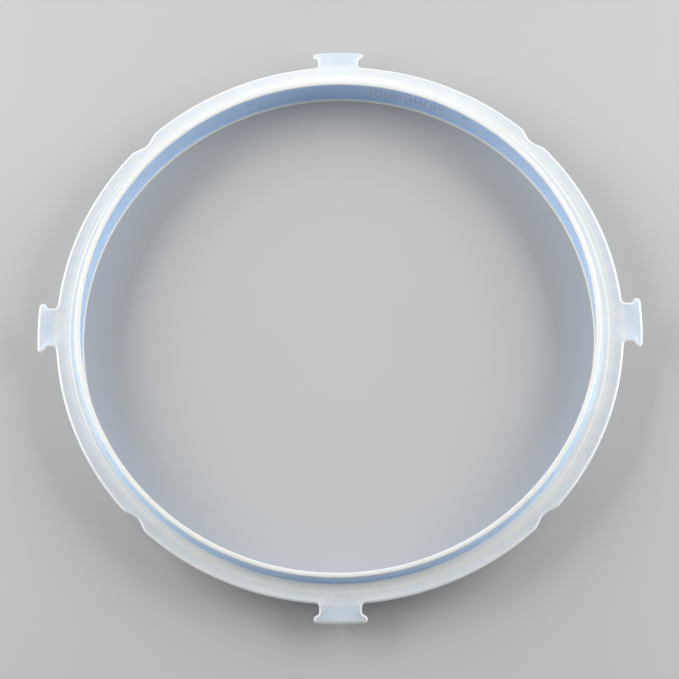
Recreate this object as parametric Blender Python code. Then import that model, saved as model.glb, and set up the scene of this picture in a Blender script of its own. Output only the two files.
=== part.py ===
"""Sealing ring of a pressure cooker: one moulding of silicone rubber.

A thin wall leans inwards a little towards its upper edge and has a lip on its inside at both
edges, so its section is a shallow channel that opens towards the middle. A flange stands out
from the wall, above half height. Four flat ears with T-shaped heads stand out from the flange's
rim, and halfway between them the rim dips inwards in four shallow notches. The ring stands on
its lower lip: the origin is on its axis at that level, +Z is up, and the ears lie along X and Y.
"""

import math

import bmesh
import bpy

# ---- Driving dimensions, in metres ----

# Wall
BORE_RADIUS = 0.1083  # inner edge of the upper lip, the ring's narrowest place
WALL_ABOVE = 0.0072  # upper edge above the middle of the flange's rim
WALL_BELOW = 0.0120  # lower edge below the middle of the flange's rim
WALL_THICKNESS = 0.00165
WALL_LEAN = 0.0019  # how much wider the wall is at its lower edge than at its upper one
UPPER_LIP_REACH = 0.00045  # from the wall's inner face
UPPER_LIP_THICKNESS = 0.0014
LOWER_LIP_REACH = 0.0017
LOWER_LIP_THICKNESS = 0.0012
UPPER_EDGE_ROUND = 0.0004  # outer corner of the upper edge
LOWER_EDGE_ROUND = 0.0009  # outer corner of the lower edge
LIP_FILLET = 0.0004  # rounding between a lip and the wall

# Flange
FLANGE_WIDTH = 0.0089  # from the wall's outer face to the rim
FLANGE_THICKNESS = 0.0018  # of the thin outer band
SHOULDER_WIDTH = 0.0046  # thicker inner band next to the wall
SHOULDER_EXTRA = 0.0009  # how much deeper the shoulder is on the underside
SHOULDER_RAMP = 0.0006  # slope between the shoulder and the thin band
FOOT_DIP = 0.0007  # how far the upper face sinks towards the wall
FOOT_FILLET = 0.0006  # rounding between the wall and the flange

# Ears
EAR_COUNT = 4
EAR_REACH = 0.0080  # from the rim to the ear's outer edge
EAR_NECK_WIDTH = 0.0174
EAR_NECK_LENGTH = 0.0030  # from the rim to where the head starts to widen
EAR_HEAD_RISE = 0.0026  # length over which the neck widens into the head
EAR_OVERHANG = 0.0023  # how far the head stands out on each side of the neck
EAR_TIP_ROUND = 0.0014  # rounding of the head's corners
EAR_ROOT_FILLET = 0.0016  # rounding between the neck and the rim
EAR_FACE_CLEARANCE = 0.0001  # ear's faces below the flange's faces
EAR_BURIED = 0.0020  # how far the ear's root runs into the flange

# Notches, halfway between the ears
NOTCH_WIDTH = 0.0150
NOTCH_DEPTH = 0.00195

# Facets
ROUND_STEPS = 2  # facets in a rounded edge
ARC_STEPS = 22  # facets around the ring between two notches
NOTCH_STEPS = 8  # facets across a notch
EAR_EDGE_STEPS = 8  # facets along an ear's outer edge
EAR_CURVE_STEPS = 5  # facets in each curve of an ear's side

SILICONE_COLOUR = (0.80, 0.86, 0.93, 1.0)
SILICONE_ROUGHNESS = 0.38

# ---- Sizes that follow from them ----

RING_HEIGHT = WALL_BELOW + WALL_ABOVE
WALL_TOP_RADIUS = BORE_RADIUS + UPPER_LIP_REACH
FOOT_RADIUS = WALL_TOP_RADIUS + WALL_LEAN * WALL_ABOVE / RING_HEIGHT + WALL_THICKNESS
RIM_RADIUS = FOOT_RADIUS + FLANGE_WIDTH
SHOULDER_RADIUS = FOOT_RADIUS + SHOULDER_WIDTH
HALF_FLANGE = FLANGE_THICKNESS / 2
EAR_THICKNESS = FLANGE_THICKNESS - 2 * EAR_FACE_CLEARANCE
EAR_PITCH = 2 * math.pi / EAR_COUNT


def arc(centre, radius, start, end, steps):
    """Points on a circle from one angle to another, both ends included."""
    angles = [start + (end - start) * i / steps for i in range(steps + 1)]
    return [(centre[0] + radius * math.cos(a), centre[1] + radius * math.sin(a)) for a in angles]


def rounded_corner(corner, radius, start):
    """A right-angled corner of the section, rounded, turning a quarter from the angle start."""
    inward = start + math.pi / 4
    centre = (
        corner[0] - radius * math.sqrt(2) * math.cos(inward),
        corner[1] - radius * math.sqrt(2) * math.sin(inward),
    )
    return arc(centre, radius, start, start + math.pi / 2, ROUND_STEPS)


def wall_inside(height):
    """The radius of the wall's inner face at a height above the lower edge."""
    return WALL_TOP_RADIUS + WALL_LEAN * (RING_HEIGHT - height) / RING_HEIGHT


def section(rim_radius):
    """The ring's section as (radius, height) points, anticlockwise, for one radius of the rim."""
    quarter = math.pi / 2
    upper = WALL_BELOW + HALF_FLANGE
    under = WALL_BELOW - HALF_FLANGE
    shoulder_under = under - SHOULDER_EXTRA
    foot_top = upper - FOOT_DIP
    rim_centre = (rim_radius - HALF_FLANGE, WALL_BELOW)

    # Lower lip, with a round inner edge and a flat underside.
    lip_round = LOWER_LIP_THICKNESS / 2
    lip_edge = wall_inside(lip_round) - LOWER_LIP_REACH
    lip_centre = (lip_edge + lip_round, lip_round)
    points = arc(lip_centre, lip_round, quarter, 3 * quarter, 2 * ROUND_STEPS)
    lower_corner = (wall_inside(0.0) + WALL_THICKNESS, 0.0)
    points += rounded_corner(lower_corner, LOWER_EDGE_ROUND, -quarter)

    # Outside of the wall and the flange.
    foot_under = shoulder_under - FOOT_FILLET
    points.append((wall_inside(foot_under) + WALL_THICKNESS, foot_under))
    points.append((FOOT_RADIUS + FOOT_FILLET, shoulder_under))
    points.append((SHOULDER_RADIUS - SHOULDER_RAMP, shoulder_under))
    points.append((SHOULDER_RADIUS, under))
    points += arc(rim_centre, HALF_FLANGE, -quarter, quarter, 2 * ROUND_STEPS)
    points.append((SHOULDER_RADIUS, upper))
    points.append((FOOT_RADIUS + FOOT_FILLET, foot_top))
    points.append((wall_inside(foot_top + FOOT_FILLET) + WALL_THICKNESS, foot_top + FOOT_FILLET))

    # Upper lip, with a flat top between its rounded corners.
    upper_corner = (WALL_TOP_RADIUS + WALL_THICKNESS, RING_HEIGHT)
    points += rounded_corner(upper_corner, UPPER_EDGE_ROUND, 0.0)
    lip_round = UPPER_LIP_THICKNESS / 2
    lip_centre = (BORE_RADIUS + lip_round, RING_HEIGHT - lip_round)
    points += arc(lip_centre, lip_round, quarter, 2 * quarter, ROUND_STEPS)

    # Inner face, between the two lips.
    below_upper_lip = RING_HEIGHT - UPPER_LIP_THICKNESS - LIP_FILLET
    above_lower_lip = LOWER_LIP_THICKNESS + LIP_FILLET
    points.append((wall_inside(below_upper_lip), below_upper_lip))
    points.append((wall_inside(above_lower_lip), above_lower_lip))
    points.append((wall_inside(LOWER_LIP_THICKNESS) - LIP_FILLET, LOWER_LIP_THICKNESS))
    return points


def ring_angles():
    """Angles of the ring's sections, closer together across the notches than between them."""
    notch_angle = NOTCH_WIDTH / RIM_RADIUS
    arc_angle = EAR_PITCH - notch_angle
    angles = []
    for k in range(EAR_COUNT):
        start = (k - 0.5) * EAR_PITCH
        for i in range(NOTCH_STEPS):
            angles.append(start + notch_angle * (i / NOTCH_STEPS - 0.5))
        for i in range(ARC_STEPS):
            angles.append(start + notch_angle / 2 + arc_angle * i / ARC_STEPS)
    return angles


def rim_radius_at(angle):
    """The rim's radius, which dips in a cosine wave at each notch."""
    from_notch = angle % EAR_PITCH - EAR_PITCH / 2
    across = abs(from_notch) * RIM_RADIUS / (NOTCH_WIDTH / 2)
    if across >= 1.0:
        return RIM_RADIUS
    return RIM_RADIUS - NOTCH_DEPTH * (1 + math.cos(math.pi * across)) / 2


def ear_side():
    """One side of an ear as (across, outward) points, from its root to the middle of its edge."""
    neck = EAR_NECK_WIDTH / 2
    head = neck + EAR_OVERHANG
    edge_radius = RIM_RADIUS + EAR_REACH

    # Root: a fillet that touches both the rim and the neck's side.
    fillet_x = neck + EAR_ROOT_FILLET
    fillet_y = math.sqrt((RIM_RADIUS + EAR_ROOT_FILLET) ** 2 - fillet_x**2)
    touch = math.atan2(fillet_y, fillet_x)
    fillet = arc(
        (fillet_x, fillet_y), EAR_ROOT_FILLET, touch - math.pi, -math.pi, EAR_CURVE_STEPS
    )
    points = [(fillet[0][0], fillet[0][1] - EAR_BURIED)] + fillet

    # Head: the side swings out in half a cosine wave.
    rise_start = RIM_RADIUS + EAR_NECK_LENGTH
    for i in range(EAR_CURVE_STEPS + 1):
        along = i / EAR_CURVE_STEPS
        widen = EAR_OVERHANG * (1 - math.cos(math.pi * along)) / 2
        points.append((neck + widen, rise_start + EAR_HEAD_RISE * along))

    # Corner: a round that ends on the outer edge, which is an arc about the ring's axis.
    tip_x = head - EAR_TIP_ROUND
    tip_y = math.sqrt((edge_radius - EAR_TIP_ROUND) ** 2 - tip_x**2)
    corner_end = math.atan2(tip_y, tip_x)
    points += arc((tip_x, tip_y), EAR_TIP_ROUND, 0.0, corner_end, EAR_CURVE_STEPS)
    half_edge = arc((0.0, 0.0), edge_radius, corner_end, math.pi / 2, EAR_EDGE_STEPS // 2)
    return points + half_edge[1:]


def ear_outline():
    """The whole outline of the ear that points along +Y, anticlockwise."""
    right = ear_side()
    left = [(-x, y) for x, y in reversed(right[:-1])]
    return right + left


def new_object(name, mesh_builder):
    """An object whose mesh is what mesh_builder leaves in a bmesh."""
    bm = bmesh.new()
    mesh_builder(bm)
    bmesh.ops.recalc_face_normals(bm, faces=bm.faces)
    mesh = bpy.data.meshes.new(name)
    bm.to_mesh(mesh)
    bm.free()
    obj = bpy.data.objects.new(name, mesh)
    bpy.context.scene.collection.objects.link(obj)
    return obj


def build_ring(bm):
    """The wall and the flange, as sections joined by quads all the way round."""
    loops = []
    for angle in ring_angles():
        cos_a, sin_a = math.cos(angle), math.sin(angle)
        loop = [bm.verts.new((r * cos_a, r * sin_a, z)) for r, z in section(rim_radius_at(angle))]
        loops.append(loop)
    for near, far in zip(loops, loops[1:] + loops[:1]):
        for i in range(len(near)):
            j = (i + 1) % len(near)
            bm.faces.new((near[i], far[i], far[j], near[j]))


def build_ears(bm):
    """The flat ears, each an extruded outline whose root is buried in the flange."""
    under = WALL_BELOW - EAR_THICKNESS / 2
    for k in range(EAR_COUNT):
        turn = k * EAR_PITCH
        cos_t, sin_t = math.cos(turn), math.sin(turn)
        verts = [
            bm.verts.new((x * cos_t - y * sin_t, x * sin_t + y * cos_t, under))
            for x, y in ear_outline()
        ]
        face = bm.faces.new(verts)
        raised = bmesh.ops.extrude_face_region(bm, geom=[face])
        top = [v for v in raised["geom"] if isinstance(v, bmesh.types.BMVert)]
        bmesh.ops.translate(bm, verts=top, vec=(0.0, 0.0, EAR_THICKNESS))


def silicone():
    """Milky, slightly blue silicone rubber."""
    material = bpy.data.materials.new("translucent_silicone")
    material.use_nodes = True
    shader = material.node_tree.nodes["Principled BSDF"]
    shader.inputs["Base Color"].default_value = SILICONE_COLOUR
    shader.inputs["Roughness"].default_value = SILICONE_ROUGHNESS
    shader.inputs["Metallic"].default_value = 0.0
    return material


def main():
    for obj in list(bpy.data.objects):
        bpy.data.objects.remove(obj, do_unlink=True)

    ring = new_object("sealing_ring", build_ring)
    ring.data.shade_smooth()
    ring.data.set_sharp_from_angle(angle=math.radians(40))
    ring.data.materials.append(silicone())

    ears = new_object("ears_guide", build_ears)
    ears.hide_render = True
    ears.display_type = "WIRE"
    add_ears = ring.modifiers.new("add_ears", "BOOLEAN")
    add_ears.operation = "UNION"
    add_ears.object = ears


main()
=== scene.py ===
# %% [markdown]
# # A sealing ring for a pressure cooker
#
# The ring is one moulding of silicone rubber: a short wall with a lip at both edges, a flange
# round its outside, four flat ears with T-shaped heads, and four shallow notches in the rim.
# It lies on a table on its lower lip. Nothing on it moves, so every piece rides on one body.

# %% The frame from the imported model
import math

import bmesh
import bpy
from mathutils import Euler, Matrix, Vector


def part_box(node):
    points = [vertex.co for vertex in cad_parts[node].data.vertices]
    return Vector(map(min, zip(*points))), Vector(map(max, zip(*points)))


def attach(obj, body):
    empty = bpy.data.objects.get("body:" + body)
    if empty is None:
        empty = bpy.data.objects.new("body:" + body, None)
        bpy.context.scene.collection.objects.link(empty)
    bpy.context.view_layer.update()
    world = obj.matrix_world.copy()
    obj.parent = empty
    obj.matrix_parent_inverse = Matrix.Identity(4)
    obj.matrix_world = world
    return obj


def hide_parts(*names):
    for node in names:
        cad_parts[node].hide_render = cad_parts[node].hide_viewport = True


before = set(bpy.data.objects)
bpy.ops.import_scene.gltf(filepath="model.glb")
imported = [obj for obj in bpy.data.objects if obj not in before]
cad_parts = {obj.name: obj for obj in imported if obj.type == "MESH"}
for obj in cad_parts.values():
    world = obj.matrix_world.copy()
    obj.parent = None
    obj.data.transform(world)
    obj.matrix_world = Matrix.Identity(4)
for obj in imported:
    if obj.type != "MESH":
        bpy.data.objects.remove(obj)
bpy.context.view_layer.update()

# %% [markdown]
# ## Sizes
#
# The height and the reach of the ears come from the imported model, so the shown ring always fits
# it. The other sizes are what the moulding has, in millimetres. Blender works in metres, and one
# factor turns one into the other. Heights are counted from the middle of the flange's rim,
# because the flange is where everything else on the ring starts from.

# %% Sizes of the moulding
MM = 0.001
ring_low, ring_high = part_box("sealing_ring")

ear_edge = ring_high.x / MM  # the ears' outer edges, from the axis
wall_above = 7.2  # upper edge above the flange's middle
wall_below = ring_high.z / MM - wall_above
wall_lean = 1.9  # the wall is this much wider at its lower edge
wall_thick = 1.65
bore = 108.3  # radius inside the upper lip
lip_reach = 0.45  # the upper lip stands this far inside the wall
upper_lip_thick = 1.3
lower_lip_reach, lower_lip_thick = 1.7, 1.1
rim = 120.0  # radius of the flange's rim
shoulder = 115.7  # radius where the thick band next to the wall ends
shoulder_deeper = 0.9  # the shoulder's extra depth on its underside
groove_depth = 0.17  # of the shallow groove in the shoulder's upper face
band_half = 0.8  # half the thickness of the flange's thin band and the ears
ear_count = 4
notch_width, notch_depth = 15.0, 1.95
print("ears reach", round(ear_edge, 2), "mm from the axis, the wall is",
      round(wall_above + wall_below, 2), "mm high")

# %% [markdown]
# ## Draw lines, and let rules repeat them
#
# A mould maker draws two things: the outline that the flange and its ears have from above, and
# the section through the wall. Both are drawn here as plain points. Corners are never sharp in a
# rubber moulding, so one helper turns a polyline with a radius at each corner into a smooth line.
# It also puts a point close to each rounding, which keeps the shading of the flat parts flat.
# A bevelled curve object would do as well, but points are easier to weld to their neighbours.


# %% Helpers that draw lines
def arc(centre, radius, start, end, steps):
    """Points on a circle between two angles, both ends included."""
    angles = [start + (end - start) * i / steps for i in range(steps + 1)]
    return [Vector((centre[0] + radius * math.cos(a), centre[1] + radius * math.sin(a)))
            for a in angles]


def softened(corners, step=math.radians(15), guard=0.12, longest=3.0):
    """A polyline of (x, y, radius) corners with each corner rounded and long legs divided."""
    places = [Vector(c[:2]) for c in corners]
    line = [places[0]]
    for i in range(1, len(corners) - 1):
        here, radius = places[i], corners[i][2]
        back, on = (places[i - 1] - here).normalized(), (places[i + 1] - here).normalized()
        half = back.angle(on) / 2
        if radius == 0 or half > math.radians(89.5):
            line.append(here)
            continue
        centre = here + (back + on).normalized() * radius / math.sin(half)
        first, last = (here + leg * radius / math.tan(half) - centre for leg in (back, on))
        turn = first.angle_signed(last)
        start = math.atan2(first.y, first.x)
        steps = max(2, math.ceil(abs(turn) / step))
        line += arc(centre, radius, start, start - turn, steps)
    line.append(places[-1])
    divided = [line[0]]
    for a, b in zip(line, line[1:]):
        length = (b - a).length
        if length > 4 * guard:
            inner = length - 2 * guard
            pieces = max(1, math.ceil(inner / longest))
            divided += [a + (b - a) * (guard + inner * k / pieces) / length
                        for k in range(pieces + 1)]
        divided.append(b)
    return divided


# %% [markdown]
# ## The wall's section
#
# The section runs from the shoulder's upper face, over the wall's outer face, round the upper
# lip, down the inside of the channel, round the lower lip and back to the shoulder's underside.
# The shoulder's upper face has a shallow groove, as the lid's seat leaves it in such rings.
# Each corner is a radius from the axis, a height above the flange's middle and the radius of its
# rounding. The result is measured from the shoulder's radius, because the line is going to be
# swept along the circle that has this radius.


# %% The wall's section
def wall_inside(height):
    """Radius of the wall's inner face at a height above or below the flange's middle."""
    from_top = (wall_above - height) / (wall_above + wall_below)
    return bore + lip_reach + wall_lean * from_top


def wall_outside(height):
    """Radius of the wall's outer face at a height above or below the flange's middle."""
    return wall_inside(height) + wall_thick


def wall_section():
    """The section's points, from the shoulder's upper face round to its underside."""
    half, top, bottom, foot = band_half, wall_above, -wall_below, wall_outside(0)
    under_shoulder = -half - shoulder_deeper
    corners = [
        # the shoulder's upper face with its groove, and the foot of the wall
        (shoulder, half, 0),
        (shoulder - 0.45, half, 0.5),
        (shoulder - 1.4, half - groove_depth, 0.5),
        (shoulder - 2.3, half - 0.03, 0.6),
        (foot + 0.9, 0.28, 0.9),
        (wall_outside(0.35), 0.35, 0.7),
        # round the upper lip
        (wall_outside(top), top, 0.45),
        (bore, top, 0.6),
        (bore + 0.05, top - upper_lip_thick, 0.45),
        (wall_inside(top - 2.1), top - 2.1, 0.8),
        # round the lower lip
        (wall_inside(bottom + 1.25), bottom + 1.25, 0.5),
        (wall_inside(bottom) - lower_lip_reach + 0.1, bottom + lower_lip_thick, 0.5),
        (wall_inside(bottom) - lower_lip_reach, bottom, 0.5),
        (wall_outside(bottom), bottom, 0.9),
        # the shoulder's underside
        (wall_outside(under_shoulder), under_shoulder, 0.6),
        (shoulder - 0.9, under_shoulder, 0.35),
        (shoulder - 0.4, -half, 0.35),
        (shoulder, -half, 0),
    ]
    return [(p.x - shoulder, -p.y) for p in softened(corners)]  # a sweep turns y downwards


section_points = wall_section()
print("the wall's section has", len(section_points), "points")

# %% [markdown]
# ## The edge's section
#
# The flange and the ears end in a bead, a round edge a little thicker than the flat behind it, so
# that the thin rubber doesn't tear. Round its middle runs the fine ridge of flash that two mould
# halves leave where they meet. The section is the bead's arc with that ridge as one raised point.

# %% The edge's section
bead_radius = 0.9
flash_height = 0.1
bead_start = bead_radius + math.sqrt(bead_radius ** 2 - band_half ** 2)  # in from the bead's top
bead_turn = math.pi - math.asin(band_half / bead_radius)
bead_centre = (bead_start - bead_radius, 0)
flash_turn = math.radians(6)
edge_points = (arc(bead_centre, bead_radius, bead_turn, flash_turn, 8)
               + [Vector((bead_start + flash_height, 0))]
               + arc(bead_centre, bead_radius, -flash_turn, -bead_turn, 8))
print("the edge's section has", len(edge_points), "points")

# %% [markdown]
# ## The outline of the flange and its ears
#
# A quarter of the outline is enough: half a notch, an arc of rim, an ear, an arc and half a
# notch. The notch is a cosine wave. One fillet touches both the rim and the ear's neck, another
# one touches the neck and the round lobe at the head's end, and the head's outer edge is an arc
# round the ring's axis. The line is then moved inwards, to where the bead's section starts.

# %% Sizes of an ear
ear_neck = 17.4 / 2
ear_head = 22.0 / 2
ear_lobe = 1.7  # radius of the round lobes at the head's ends
ear_neck_fillet = 1.5  # between the neck and a lobe
ear_root_fillet = 1.6  # between the rim and the neck
print("an ear's neck is", 2 * ear_neck, "mm wide and its head", 2 * ear_head, "mm")


# %% A quarter of the outline
def ear_side(fillet_steps=9, lobe_steps=18, edge_steps=16):
    """One side of an ear along +Y, from where its fillet leaves the rim to its middle."""
    root_x = ear_neck + ear_root_fillet
    root_y = math.sqrt((rim + ear_root_fillet) ** 2 - root_x ** 2)
    touch = math.atan2(root_y, root_x)
    line = arc((root_x, root_y), ear_root_fillet, touch - math.pi, -math.pi, fillet_steps)
    lobe_x = ear_head - ear_lobe
    lobe_y = math.sqrt((ear_edge - ear_lobe) ** 2 - lobe_x ** 2)
    neck_x = ear_neck + ear_neck_fillet
    neck_y = lobe_y - math.sqrt((ear_neck_fillet + ear_lobe) ** 2 - (neck_x - lobe_x) ** 2)
    meet = math.atan2(lobe_y - neck_y, lobe_x - neck_x)
    line += arc((neck_x, neck_y), ear_neck_fillet, math.pi, meet, fillet_steps)
    corner = math.atan2(lobe_y, lobe_x)
    line += arc((lobe_x, lobe_y), ear_lobe, meet - math.pi, corner, lobe_steps)[1:]
    return line + arc((0, 0), ear_edge, corner, math.pi / 2, edge_steps)[1:]


def rim_radius(from_notch):
    """The rim's radius at a distance in millimetres along the rim from a notch's middle."""
    across = min(1.0, abs(from_notch) / (notch_width / 2))
    return rim - notch_depth * (1 + math.cos(math.pi * across)) / 2


def quarter_outline(notch_steps=16, arc_steps=78):
    """The outline between the notches on both sides of the ear that points along +X."""
    side = ear_side()
    root = math.pi / 2 - math.atan2(side[0].y, side[0].x)
    to_root = (math.pi / 4 - root) * rim
    half_notch = notch_width / 2
    reach = [half_notch * i / notch_steps for i in range(notch_steps)]
    reach += [half_notch + (to_root - half_notch) * i / arc_steps for i in range(arc_steps)]
    rising = []
    for along in reach:
        angle = along / rim - math.pi / 4
        rising.append(rim_radius(along) * Vector((math.cos(angle), math.sin(angle))))
    rising += [Vector((p.y, -p.x)) for p in side]
    return rising + [Vector((p.x, -p.y)) for p in reversed(rising[:-1])]


def moved_inwards(line, distance):
    """The open line moved to its left, towards the ring's axis."""
    moved = []
    for i, here in enumerate(line):
        before, after = line[max(i - 1, 0)], line[min(i + 1, len(line) - 1)]
        if i == 0:
            before = Vector((-after.y, -after.x))
        if i == len(line) - 1:
            after = Vector((before.y, before.x))
        a, b = (here - before).normalized(), (after - here).normalized()
        along = (a + b).normalized()
        moved.append(here + Vector((-along.y, along.x)) * distance / max(along.dot(a), 0.5))
    return moved


outline_points = moved_inwards(quarter_outline(), bead_start + flash_height)
print("a quarter of the outline has", len(outline_points), "points")

# %% [markdown]
# ## One helper for nodes
#
# Geometry Nodes and materials are both made of nodes. This helper adds one, sets what it is
# told and links what it is given, so the trees below read as lists of steps. A second one starts
# an empty tree with named inputs, and a third puts a line of points where a tree can find it.


# %% Helpers for trees
def add(tree, kind, inputs=None, **settings):
    """A new node. Its settings are attributes, and its inputs are values or other sockets."""
    node = tree.nodes.new(kind)
    for name, value in settings.items():
        setattr(node, name, value)
    for name, value in (inputs or {}).items():
        if isinstance(value, bpy.types.NodeSocket):
            tree.links.new(value, node.inputs[name])
        else:
            node.inputs[name].default_value = value
    return node


def new_geometry_tree(name, inputs):
    """An empty Geometry Nodes tree with named inputs and a geometry in and out."""
    tree = bpy.data.node_groups.new(name, "GeometryNodeTree")
    tree.interface.new_socket("Geometry", in_out="INPUT", socket_type="NodeSocketGeometry")
    for label, kind in inputs.items():
        tree.interface.new_socket(label, in_out="INPUT", socket_type="NodeSocket" + kind)
    tree.interface.new_socket("Geometry", in_out="OUTPUT", socket_type="NodeSocketGeometry")
    return tree, add(tree, "NodeGroupInput")


def line_object(name, points):
    """A helper object that holds an open line of points as mesh edges."""
    mesh = bpy.data.meshes.new(name)
    mesh.from_pydata([(p[0] * MM, p[1] * MM, 0.0) for p in points],
                     [(i, i + 1) for i in range(len(points) - 1)], [])
    obj = bpy.data.objects.new(name, mesh)
    bpy.context.scene.collection.objects.link(obj)
    return obj


# %% [markdown]
# ## The tree that makes the ring
#
# The tree turns copies of the quarter outline about the axis and welds them into one closed path.
# It sweeps the edge's section along that path and the wall's section along a circle. The flat
# faces fill the gap between the two paths, once above and once below. All four share their
# border points, so a weld makes one closed skin. A lathe modifier could make the wall, but not
# the ears, and joining them by Booleans would leave ragged edges where the beads meet the rim.

# %% The ring's tree starts with its lines
tree, given = new_geometry_tree("moulded_ring", {
    "Ears": "Int", "Edge section": "Object", "Wall section": "Object",
    "Shoulder radius": "Float", "Steps round": "Int", "Half thickness": "Float",
    "Flange height": "Float", "Wall radius": "Float", "Wall shift": "Float",
    "Rim radius": "Float", "Ear radius": "Float", "Least sag": "Float", "More sag": "Float",
    "Finish": "Material",
})
size = given.outputs
turn_step = add(tree, "ShaderNodeMath", {0: math.tau, 1: size["Ears"]}, operation="DIVIDE")
turn = add(tree, "ShaderNodeMath", {0: add(tree, "GeometryNodeInputIndex").outputs["Index"],
                                    1: turn_step.outputs[0]}, operation="MULTIPLY")
spots = add(tree, "GeometryNodePoints", {"Count": size["Ears"]})
turned = add(tree, "GeometryNodeInstanceOnPoints", {
    "Points": spots.outputs[0], "Instance": size["Geometry"],
    "Rotation": add(tree, "ShaderNodeCombineXYZ", {"Z": turn.outputs[0]}).outputs[0]})
real = add(tree, "GeometryNodeRealizeInstances", {"Geometry": turned.outputs[0]})
joint = add(tree, "GeometryNodeMergeByDistance", {
    "Geometry": real.outputs[0], "Distance": 0.01 * MM})
outline = add(tree, "GeometryNodeMeshToCurve", {"Mesh": joint.outputs[0]}).outputs["Curve"]
circle = add(tree, "GeometryNodeCurvePrimitiveCircle", {
    "Resolution": size["Steps round"], "Radius": size["Shoulder radius"]}).outputs["Curve"]
print("the tree repeats and welds the outline with", len(tree.nodes), "nodes")

# %% [markdown]
# ## The two sweeps
#
# Each section comes from its helper object as a curve. The edge's one also carries an attribute
# called edge, 0 where the bead starts and 1 on its outermost line. It drives a painted highlight
# along the bead, the light that gathers in its round edge. Curve to Mesh hands the attribute on to
# the skin.

# %% The ring's tree sweeps the sections
along = add(tree, "GeometryNodeSplineParameter").outputs["Factor"]
from_end = add(tree, "ShaderNodeMath", {0: 1.0, 1: along}, operation="SUBTRACT")
hump = add(tree, "ShaderNodeMath", {0: along, 1: from_end.outputs[0]}, operation="MULTIPLY")
# a painted highlight along the bead: 0 where it starts, 1 on its outermost line
painted_bead_highlight = add(tree, "ShaderNodeMath", {0: hump.outputs[0], 1: 4.0}, operation="MULTIPLY")
skin = add(tree, "GeometryNodeJoinGeometry")
for path, section, amount in ((outline, size["Edge section"], painted_bead_highlight.outputs[0]),
                              (circle, size["Wall section"], 0.0)):
    held = add(tree, "GeometryNodeObjectInfo", {"Object": section}, transform_space="ORIGINAL")
    line = add(tree, "GeometryNodeMeshToCurve", {"Mesh": held.outputs["Geometry"]})
    marked = add(tree, "GeometryNodeStoreNamedAttribute", {
        "Geometry": line.outputs["Curve"], "Name": "edge", "Value": amount},
        data_type="FLOAT", domain="POINT")
    upright = add(tree, "GeometryNodeSetCurveNormal", {"Curve": path}, mode="Z_UP")
    swept = add(tree, "GeometryNodeCurveToMesh", {
        "Curve": upright.outputs["Curve"], "Profile Curve": marked.outputs["Geometry"]})
    tree.links.new(swept.outputs["Mesh"], skin.inputs[0])
print("the tree sweeps the sections with", len(tree.nodes), "nodes")

# %% The ring's tree fills the flat faces and welds the skin
paths = add(tree, "GeometryNodeJoinGeometry")
for path in (outline, circle):
    tree.links.new(path, paths.inputs[0])
face = add(tree, "GeometryNodeFillCurve", {"Curve": paths.outputs[0]}, mode="TRIANGLES")
flipped = add(tree, "GeometryNodeFlipFaces", {"Mesh": face.outputs[0]})
down = add(tree, "ShaderNodeMath", {0: size["Half thickness"], 1: -1.0}, operation="MULTIPLY")
for side, lift in ((face, size["Half thickness"]), (flipped, down.outputs[0])):
    lifted = add(tree, "GeometryNodeTransform", {
        "Geometry": side.outputs[0],
        "Translation": add(tree, "ShaderNodeCombineXYZ", {"Z": lift}).outputs[0]})
    tree.links.new(lifted.outputs[0], skin.inputs[0])
closed = add(tree, "GeometryNodeMergeByDistance", {
    "Geometry": skin.outputs[0], "Distance": 0.002 * MM})
position = add(tree, "GeometryNodeInputPosition").outputs[0]
moulded = add(tree, "GeometryNodeStoreNamedAttribute", {
    "Geometry": closed.outputs[0], "Name": "mould_place", "Value": position},
    data_type="FLOAT_VECTOR", domain="POINT")
print("the tree sweeps, fills and welds with", len(tree.nodes), "nodes")

# %% [markdown]
# ## The shape that a loose ring takes
#
# Out of its mould the rubber relaxes. The wall leans a little to one side of the flange, and the
# ears hang by a millimetre or two, those at the front and the back most. An ear that hangs keeps
# its length, so its tip also comes a little nearer to the axis. All of these are smooth rules of
# the place in the ring, so one Set Position does them. The place in the mould was stored before
# this, in the attribute mould_place, because the finish follows the moulding and not the way it
# lies.

# %% The ring's tree relaxes the shape
bend_power = 1.5  # an ear drops as this power of the way along it
shortening = 0.56  # the tip comes inwards by this share of drop squared over the ear's length
place = add(tree, "ShaderNodeSeparateXYZ", {0: position})
level = add(tree, "ShaderNodeCombineXYZ", {"X": place.outputs["X"], "Y": place.outputs["Y"]})
reach = add(tree, "ShaderNodeVectorMath", {0: level.outputs[0]},
            operation="LENGTH").outputs["Value"]
lean = add(tree, "ShaderNodeMapRange", {
    "Value": reach, "From Min": size["Shoulder radius"], "From Max": size["Wall radius"],
    "To Min": 0.0, "To Max": size["Wall shift"]}, interpolation_type="SMOOTHSTEP")
past_rim = add(tree, "ShaderNodeMapRange", {
    "Value": reach, "From Min": size["Rim radius"], "From Max": size["Ear radius"],
    "To Min": 0.0, "To Max": 1.0})
bend = add(tree, "ShaderNodeMath", {0: past_rim.outputs[0], 1: bend_power}, operation="POWER")
outwards = add(tree, "ShaderNodeVectorMath", {0: level.outputs[0]},
               operation="NORMALIZE").outputs[0]
to_back = add(tree, "ShaderNodeSeparateXYZ", {0: outwards}).outputs["Y"]
front_and_back = add(tree, "ShaderNodeMath", {0: to_back, 1: 2.0}, operation="POWER")
sag = add(tree, "ShaderNodeMath", {0: front_and_back.outputs[0], 1: size["More sag"],
                                   2: size["Least sag"]}, operation="MULTIPLY_ADD")
drop = add(tree, "ShaderNodeMath", {0: bend.outputs[0], 1: sag.outputs[0]}, operation="MULTIPLY")
lift = add(tree, "ShaderNodeMath", {0: size["Flange height"], 1: drop.outputs[0]},
           operation="SUBTRACT")
drop_squared = add(tree, "ShaderNodeMath", {0: drop.outputs[0], 1: 2.0}, operation="POWER")
ear_length = add(tree, "ShaderNodeMath", {0: size["Rim radius"], 1: size["Ear radius"]},
                 operation="SUBTRACT")  # negative, so that the offset points inwards
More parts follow.
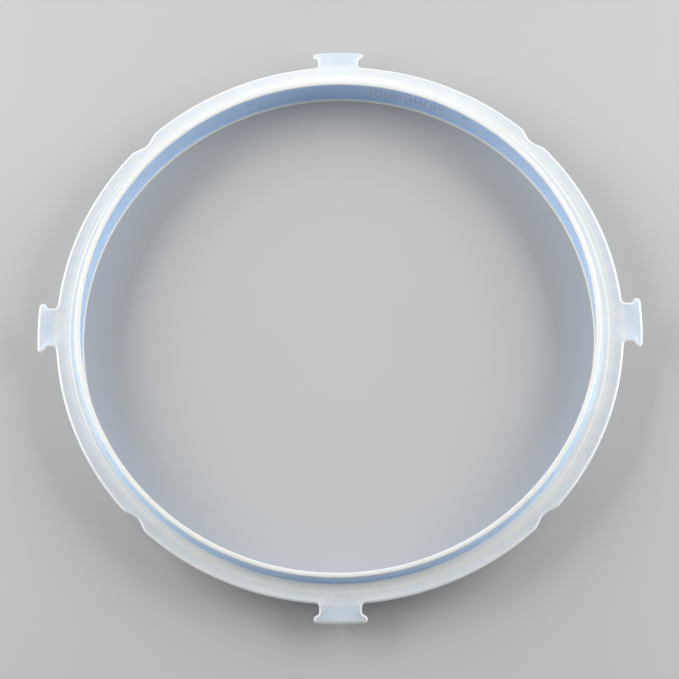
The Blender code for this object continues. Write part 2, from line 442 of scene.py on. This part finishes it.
nearer = add(tree, "ShaderNodeMath", {0: drop_squared.outputs[0], 1: ear_length.outputs[0]},
             operation="DIVIDE")
shortened = add(tree, "ShaderNodeMath", {0: nearer.outputs[0], 1: shortening},
                operation="MULTIPLY")
inwards = add(tree, "ShaderNodeVectorMath", {0: outwards, "Scale": shortened.outputs[0]},
              operation="SCALE")
shift = add(tree, "ShaderNodeCombineXYZ", {"X": lean.outputs[0], "Z": lift.outputs[0]})
offset = add(tree, "ShaderNodeVectorMath", {0: shift.outputs[0], 1: inwards.outputs[0]},
             operation="ADD")
relaxed = add(tree, "GeometryNodeSetPosition", {
    "Geometry": moulded.outputs["Geometry"], "Offset": offset.outputs[0]})
solid = add(tree, "GeometryNodeRealizeInstances", {"Geometry": relaxed.outputs[0]})
finished = add(tree, "GeometryNodeSetMaterial", {
    "Geometry": solid.outputs[0], "Material": size["Finish"]})
add(tree, "NodeGroupOutput", {"Geometry": finished.outputs[0]})
ring_tree = tree
print("the whole tree has", len(tree.nodes), "nodes")

# %% [markdown]
# ## From tree to mesh
#
# The export keeps plain meshes, so the tree is evaluated once and its result becomes the piece.
# The helper sets the modifier's inputs by their identifiers, copies the result, and turns all
# faces outwards. The object that carried the modifier is removed with it.


# %% A helper that runs a tree
def made_by(name, tree, base, values):
    """A plain mesh object that holds what the tree makes from the base mesh and the values."""
    maker = bpy.data.objects.new(name + "_maker", base)
    bpy.context.scene.collection.objects.link(maker)
    modifier = maker.modifiers.new("tree", "NODES")
    modifier.node_group = tree
    for item in tree.interface.items_tree:
        if item.in_out == "INPUT" and item.name in values:
            modifier[item.identifier] = values[item.name]
    ready = maker.evaluated_get(bpy.context.evaluated_depsgraph_get())
    mesh = bpy.data.meshes.new_from_object(ready)
    mesh.name = name
    bpy.data.objects.remove(maker)
    bm = bmesh.new()
    bm.from_mesh(mesh)
    bmesh.ops.recalc_face_normals(bm, faces=bm.faces)
    open_edges = sum(not e.is_manifold for e in bm.edges)
    print(name, "has", len(bm.faces), "faces,", sum(len(f.verts) - 2 for f in bm.faces),
          "triangles and", open_edges, "open edges, volume",
          round(bm.calc_volume() * 1e6, 3), "cubic centimetres")
    bm.to_mesh(mesh)
    bm.free()
    mesh.shade_smooth()
    mesh.set_sharp_from_angle(angle=math.radians(30))
    piece = bpy.data.objects.new(name, mesh)
    bpy.context.scene.collection.objects.link(piece)
    return piece


# %% [markdown]
# ## Colours
#
# Colours are written as sRGB hex codes, as a paint chart gives them. A shader works with linear
# light, so one function turns one into the other.


# %% A helper for colours
def linear(code):
    """A colour for a shader socket from an sRGB hex code."""
    parts = [int(code[i:i + 2], 16) / 255 for i in (0, 2, 4)]
    return [c / 12.92 if c <= 0.04045 else ((c + 0.055) / 1.055) ** 2.4 for c in parts] + [1.0]


# %% [markdown]
# ## Silicone, moulded and translucent
#
# The material is silicone rubber, pressed hot in a turned and blasted steel mould. It has no
# pigment, so light goes in, scatters and comes out again a millimetre or two further on. That is
# what subsurface scattering stands for, with a radius near the wall's thickness. The blasted
# mould leaves a satin skin with soft highlights, so the roughness is about 0.3, and silicone's
# refractive index is 1.41. These numbers are the same all over, so they sit on the shader itself.

# %% Silicone's shader
silicone = bpy.data.materials.new("moulded_translucent_silicone")
silicone.use_nodes = True
look = silicone.node_tree
shader = look.nodes["Principled BSDF"]
light_path = 2.2  # how far light travels in the rubber
for name, value in {"IOR": 1.41, "Subsurface Weight": 0.7, "Subsurface Radius": (1.0, 0.85, 0.7),
                    "Subsurface Scale": light_path * MM, "Subsurface Anisotropy": 0.3}.items():
    shader.inputs[name].default_value = value
print("light travels about", light_path, "mm in", silicone.name)

# %% [markdown]
# ## Colour along the section, with painted light and shade
#
# Unpigmented silicone looks bluish where it is thin and milky white where it is thick, so the
# colour follows the section. The wall is blue-grey and darker than the flange: partly the rubber's
# own blue, partly painted shade where the upright wall gets little light, and its outer face a
# little lighter as painted light that comes through the wall. The shoulder is milky, the thin band
# and the ears cooler. The lips and the bead are white as a painted highlight, where light falls on
# the lips and gathers in the bead's round edge, and the lower lip has a cream tint of painted
# light that passed through the rubber. Each line of the table is a smooth step, from one distance
# to another, to a new colour. The distances are read from mould_place, so they are those of the
# section above. A piece without that attribute, such as a raised mark, keeps the first colour,
# that of the wall's inside.

# %% Distances in the moulding
in_mould = add(look, "ShaderNodeAttribute", attribute_name="mould_place").outputs["Vector"]
parts = add(look, "ShaderNodeSeparateXYZ", {0: in_mould})
flat = add(look, "ShaderNodeCombineXYZ", {"X": parts.outputs["X"], "Y": parts.outputs["Y"]})
radius = add(look, "ShaderNodeVectorMath", {0: flat.outputs[0]},
             operation="LENGTH").outputs["Value"]
height = parts.outputs["Z"]
upright_radius = add(look, "ShaderNodeMath", {  # the radius with the wall's lean taken out
    0: height, 1: wall_lean / (wall_above + wall_below), 2: radius},
    operation="MULTIPLY_ADD").outputs[0]
edge = add(look, "ShaderNodeAttribute", attribute_name="edge").outputs["Fac"]
print("the lean is", round(wall_lean / (wall_above + wall_below), 3), "mm in each mm of height")

# %% Colours of the silicone
# the wall's inner face: the rubber's own blue, made darker as painted shade
colour = linear("C4DEFC")  # the wall's inner face
wall_middle = wall_inside(0) + wall_thick / 2
foot = wall_outside(0)
colour_steps = [
    # the wall's outer face is lighter: painted light that comes through the wall
    (upright_radius, (wall_middle - 0.15) * MM, (wall_middle + 0.15) * MM, "CBE3FE"),  # outer face
    (upright_radius, (foot + 0.1) * MM, (foot + 0.8) * MM, "FCFAF3"),  # shoulder
    (radius, 115.0 * MM, 116.2 * MM, "EEF1F1"),  # thin band
    (radius, 119.6 * MM, 122.0 * MM, "DFE7EE"),  # ears
    # the lips: a painted highlight where light falls on them, and on the lower lip a cream tint of
    # painted light that passed through the rubber
    (height, (wall_above - 0.9) * MM, (wall_above - 0.4) * MM, "F3F3EF"),  # upper lip
    (height, (1.35 - wall_below) * MM, (1.0 - wall_below) * MM, "FFFBEE"),  # lower lip
    # the bead: a painted highlight along its round edge; the raised marks reuse this step
    (edge, 0.3, 0.9, "FFFDF9"),  # the bead
]
for value, start, end, code in colour_steps:
    step = add(look, "ShaderNodeMapRange", {
        "Value": value, "From Min": start, "From Max": end,
        "To Min": 0.0, "To Max": 1.0}, interpolation_type="SMOOTHSTEP")
    colour = add(look, "ShaderNodeMix", {0: step.outputs[0], 6: colour, 7: linear(code)},
                 data_type="RGBA").outputs[2]
print("the silicone's colour has", len(colour_steps), "steps")

# %% [markdown]
# ## Clouds, turning marks and grain
#
# Three finer things make it rubber and not paint. The gum isn't perfectly even, so faint clouds
# about 9 mm wide vary its milkiness and its gloss. The mould was turned on a lathe, which leaves
# faint rings 0.6 mm apart. Blasting leaves a grain of about 0.1 mm, and that is drawn
# 0.5 mm wide, because finer grain wouldn't show at all.

# %% Clouds and turning marks in the colour
cloud_width, turning_pitch, grain_width = 9 * MM, 0.6 * MM, 0.5 * MM
on_piece = add(look, "ShaderNodeTexCoord").outputs["Object"]
clouds = add(look, "ShaderNodeTexNoise", {
    "Vector": on_piece, "Scale": 1 / cloud_width, "Detail": 3.0, "Roughness": 0.55}).outputs[0]
turning = add(look, "ShaderNodeTexNoise", {
    "W": radius, "Scale": 1 / turning_pitch, "Detail": 1.0}, noise_dimensions="1D").outputs[0]
for pattern, low, high, strongest in ((clouds, 0.3, 0.7, 0.3), (turning, 0.35, 0.65, 0.15)):
    amount = add(look, "ShaderNodeMapRange", {
        "Value": pattern, "From Min": low, "From Max": high, "To Min": 0.0, "To Max": strongest})
    colour = add(look, "ShaderNodeMix", {0: amount.outputs[0], 6: colour, 7: linear("E6E9EB")},
                 data_type="RGBA", blend_type="MULTIPLY").outputs[2]
look.links.new(colour, shader.inputs["Base Color"])
print("the colour is made by", len(look.nodes), "nodes")

# %% Gloss, turning marks and grain on the skin
gloss = add(look, "ShaderNodeMapRange", {
    "Value": clouds, "From Min": 0.3, "From Max": 0.7, "To Min": 0.26, "To Max": 0.36})
look.links.new(gloss.outputs[0], shader.inputs["Roughness"])
grain = add(look, "ShaderNodeTexNoise", {
    "Vector": on_piece, "Scale": 1 / grain_width, "Detail": 2.0}).outputs[0]
turned_skin = add(look, "ShaderNodeBump", {
    "Height": turning, "Strength": 0.5, "Distance": 0.02 * MM})
blasted_skin = add(look, "ShaderNodeBump", {
    "Height": grain, "Strength": 0.25, "Distance": 0.03 * MM, "Normal": turned_skin.outputs[0]})
look.links.new(blasted_skin.outputs[0], shader.inputs["Normal"])
print("the silicone has", len(look.nodes), "nodes")

# %% [markdown]
# ## The ring
#
# Now the tree is run with the real sizes. The wall's own radius tells the tree how far in the
# lean reaches its full size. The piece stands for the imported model's plain solid.

# %% The ring
wall_shift = -0.6  # how far the wall lies towards -X
least_sag, more_sag = 0.9, 1.0  # of the side ears, and how much more at the front and back
hang_radius = rim + 0.3  # where the ears begin to hang
steps_round = 576  # of the wall's circle
edge_line = line_object("edge_section", edge_points)
wall_line = line_object("wall_section", section_points)
quarter_line = line_object("quarter", outline_points)
ring = made_by("moulded_sealing_ring", ring_tree, quarter_line.data, {
    "Ears": ear_count, "Edge section": edge_line, "Wall section": wall_line,
    "Shoulder radius": shoulder * MM, "Steps round": steps_round,
    "Half thickness": band_half * MM, "Flange height": wall_below * MM,
    "Wall radius": wall_outside(0) * MM, "Wall shift": wall_shift * MM,
    "Rim radius": hang_radius * MM, "Ear radius": ear_edge * MM,
    "Least sag": least_sag * MM, "More sag": more_sag * MM, "Finish": silicone,
})
for helper in (edge_line, wall_line, quarter_line):
    bpy.data.objects.remove(helper)
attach(ring, "root")
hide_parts("sealing_ring")

# %% [markdown]
# ## Raised marks on the wall
#
# Such rings have a line of raised marks on the inside of the wall. Here it is a row of plain
# bars without a meaning. They stand only 0.3 mm proud, so each bar is a small block with soft
# edges, sunk into the wall for the rest of its depth. A second tree puts the copies along the
# wall and tilts them with its lean, because a row like this is all rule and no drawing.

# %% One bar
bar_size = Vector((0.8, 0.75, 4.8)) * MM  # depth, width and height
bar_proud, bar_rounding = 0.3, 0.18
bm = bmesh.new()
bmesh.ops.create_cube(bm, size=1.0)
bmesh.ops.scale(bm, vec=bar_size, verts=bm.verts)
bmesh.ops.bevel(bm, geom=bm.edges[:], offset=bar_rounding * MM, segments=2, affect="EDGES")
bar_mesh = bpy.data.meshes.new("bar")
bm.to_mesh(bar_mesh)
bm.free()
print("one bar has", len(bar_mesh.polygons), "faces")

# %% The marks' tree
tree, given = new_geometry_tree("row_of_marks", {
    "Count": "Int", "First angle": "Float", "Angle step": "Float", "Radius": "Float",
    "Height": "Float", "Lean": "Float", "Wall shift": "Float", "Whiteness": "Float",
    "Finish": "Material"})
size = given.outputs
angle = add(tree, "ShaderNodeMath", {
    0: add(tree, "GeometryNodeInputIndex").outputs["Index"], 1: size["Angle step"],
    2: size["First angle"]}, operation="MULTIPLY_ADD").outputs[0]
cosine, sine = (add(tree, "ShaderNodeMath", {0: angle}, operation=kind).outputs[0]
                for kind in ("COSINE", "SINE"))
across_x = add(tree, "ShaderNodeMath", {0: cosine, 1: size["Radius"], 2: size["Wall shift"]},
               operation="MULTIPLY_ADD")
across_y = add(tree, "ShaderNodeMath", {0: sine, 1: size["Radius"]}, operation="MULTIPLY")
spots = add(tree, "GeometryNodePoints", {
    "Count": size["Count"],
    "Position": add(tree, "ShaderNodeCombineXYZ", {
        "X": across_x.outputs[0], "Y": across_y.outputs[0], "Z": size["Height"]}).outputs[0]})
copies = add(tree, "GeometryNodeInstanceOnPoints", {
    "Points": spots.outputs[0], "Instance": size["Geometry"],
    "Rotation": add(tree, "ShaderNodeCombineXYZ", {"Y": size["Lean"], "Z": angle}).outputs[0]})
whiter = add(tree, "GeometryNodeStoreNamedAttribute", {
    "Geometry": copies.outputs[0], "Name": "edge", "Value": size["Whiteness"]},
    data_type="FLOAT", domain="INSTANCE")
solid = add(tree, "GeometryNodeRealizeInstances", {"Geometry": whiter.outputs["Geometry"]})
finished = add(tree, "GeometryNodeSetMaterial", {
    "Geometry": solid.outputs[0], "Material": size["Finish"]})
add(tree, "NodeGroupOutput", {"Geometry": finished.outputs[0]})
print("the marks' tree has", len(tree.nodes), "nodes")

# %% The marks
mark_count, mark_start, mark_step = 15, math.radians(66), math.radians(1.2)
mark_height = -2.4  # the bars' middle, below the flange's middle
mark_whiteness = 0.66  # a bar is thicker than the wall, so it looks a little whiter
mark_radius = wall_inside(mark_height) - bar_proud + bar_size.x / MM / 2
marks = made_by("raised_wall_marks", tree, bar_mesh, {
    "Count": mark_count, "First angle": mark_start, "Angle step": mark_step,
    "Radius": mark_radius * MM, "Height": (wall_below + mark_height) * MM,
    "Lean": -math.atan(wall_lean / (wall_above + wall_below)), "Wall shift": wall_shift * MM,
    "Whiteness": mark_whiteness, "Finish": silicone})
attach(marks, "root")

# %% [markdown]
# ## The nub of the gate
#
# Where the gum was cut off at the mould's gate, a nub smaller than a grain of rice is left on the
# upper lip. It is a squashed sphere that is half sunk in the lip.

# %% The nub of the gate
nub_turn = math.radians(318)
nub_radius, nub_height = bore + 0.25, wall_below + wall_above - 0.75
nub_place = Vector((nub_radius * math.cos(nub_turn) + wall_shift,
                    nub_radius * math.sin(nub_turn), nub_height)) * MM
nub_halves = (0.65 * MM, 0.95 * MM, 0.6 * MM)  # towards the axis, along the lip and upwards
nub_shape = Matrix.Diagonal((*nub_halves, 1.0))
bm = bmesh.new()
bmesh.ops.create_uvsphere(bm, u_segments=24, v_segments=12, radius=1.0,
                          matrix=Matrix.Translation(nub_place)
                          @ Euler((0, 0, nub_turn)).to_matrix().to_4x4() @ nub_shape)
nub_mesh = bpy.data.meshes.new("gate_nub")
bm.to_mesh(nub_mesh)
bm.free()
nub_mesh.shade_smooth()
nub_mesh.materials.append(silicone)
nub = bpy.data.objects.new("gate_nub", nub_mesh)
bpy.context.scene.collection.objects.link(nub)
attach(nub, "root")
print("the nub has", len(nub_mesh.polygons), "faces")

# %% [markdown]
# ## Floor
#
# The ring lies on a plain board, painted matt in a pale neutral grey that is darker than the
# silicone, so that the white beads stand out against it. Rolled matt paint scatters light evenly,
# so it shows no highlights, only a very faint unevenness about 120 mm wide.

# %% Floor
board_half, unevenness = 3.0, 120 * MM
bm = bmesh.new()
bmesh.ops.create_grid(bm, x_segments=1, y_segments=1, size=board_half)
floor_mesh = bpy.data.meshes.new("studio_floor")
bm.to_mesh(floor_mesh)
bm.free()
floor = bpy.data.objects.new("studio_floor", floor_mesh)
bpy.context.scene.collection.objects.link(floor)
paint = bpy.data.materials.new("matt_painted_board")
paint.use_nodes = True
paint_shader = paint.node_tree.nodes["Principled BSDF"]
paint_shader.inputs["Roughness"].default_value = 0.9
rolled = add(paint.node_tree, "ShaderNodeTexNoise", {
    "Vector": add(paint.node_tree, "ShaderNodeTexCoord").outputs["Object"],
    "Scale": 1 / unevenness, "Detail": 4.0})
paint_colour = add(paint.node_tree, "ShaderNodeMix", {
    0: rolled.outputs[0], 6: linear("C1C0BD"), 7: linear("C6C5C3")}, data_type="RGBA")
paint.node_tree.links.new(paint_colour.outputs[2], paint_shader.inputs["Base Color"])
floor_mesh.materials.append(paint)
print("the board is", 2 * board_half, "metres wide")

# %% [markdown]
# ## Light
#
# Milky rubber needs light from its sides, which makes the beads and lips shine and lets the wall
# between them go blue and darker, together with the painted highlight on them and the painted
# shade on the wall in the rubber's colour. Two large softboxes stand left and right, a third one
# at the back and a fourth one hangs above. Nearer ones would light the flange's sides more, but
# they would also leave bright pools on the board beside the ring. A faint room fills the rest.


# %% Lights
def softbox(name, place, width, height, power):
    """A rectangular studio light that points at the ring."""
    light = bpy.data.lights.new(name, "AREA")
    light.shape = "RECTANGLE"
    light.size, light.size_y = width, height
    light.energy = power
    lamp = bpy.data.objects.new(name, light)
    lamp.location = place
    lamp.rotation_euler = (-Vector(place)).to_track_quat("-Z", "Y").to_euler()
    bpy.context.scene.collection.objects.link(lamp)
    print(name, "stands", round(lamp.location.length, 2), "metres away, with", power, "watts")


softbox("left_softbox", (-0.68, 0.2, 0.36), 0.8, 0.5, 6.2)
softbox("right_softbox", (0.68, 0.2, 0.36), 0.8, 0.5, 6.2)
softbox("back_softbox", (0.0, 1.1, 0.6), 1.2, 0.6, 2.0)
softbox("top_softbox", (0.0, 0.2, 1.3), 1.0, 1.0, 0.8)

# %% The room
world = bpy.data.worlds.new("soft_room")
world.use_nodes = True
room_light = world.node_tree.nodes["Background"].inputs
room_light["Color"].default_value = linear("E6EDF8")
room_light["Strength"].default_value = 0.23
bpy.context.scene.world = world
print("the room's light has the strength", round(room_light["Strength"].default_value, 2))

# %% [markdown]
# ## Camera
#
# The camera looks down at the ring from the front, almost from above, and is turned and tilted a
# little. Its place comes from those angles and a distance, and its direction from the place in
# the frame where the flange's middle has to be. The colours are shown without a film curve.

# %% Camera
elevation, yaw, roll = math.radians(70.891), math.radians(-2.784), math.radians(3.198)
distance = 0.93077
image_width = 679
lens_in_widths = 2201.29 / image_width  # the focal length, in image widths
aim_right, aim_up = 0.17 / image_width, -14.61 / image_width  # in image widths, off the middle

across = Vector((math.cos(yaw), -math.sin(yaw), 0))
upward = Vector((math.sin(yaw) * math.sin(elevation), math.cos(yaw) * math.sin(elevation),
                 math.cos(elevation)))
backward = across.cross(upward)
across, upward = (across * math.cos(roll) - upward * math.sin(roll),
                  across * math.sin(roll) + upward * math.cos(roll))
ahead = (-backward * lens_in_widths + across * aim_right + upward * aim_up).normalized()
across = (across - ahead * across.dot(ahead)).normalized()
upward = across.cross(ahead)
camera = bpy.data.cameras.new("camera")
camera.sensor_width = 36.0
camera.lens = camera.sensor_width * lens_in_widths
camera.clip_start = 0.01
eye = bpy.data.objects.new("camera", camera)
eye.matrix_world = Matrix((across, upward, -ahead)).transposed().to_4x4()
eye.location = Vector((0, 0, wall_below * MM)) + backward * distance
bpy.context.scene.collection.objects.link(eye)
bpy.context.scene.camera = eye
bpy.context.scene.view_settings.view_transform = "Standard"
print("the camera's lens is", round(camera.lens, 1), "mm long")
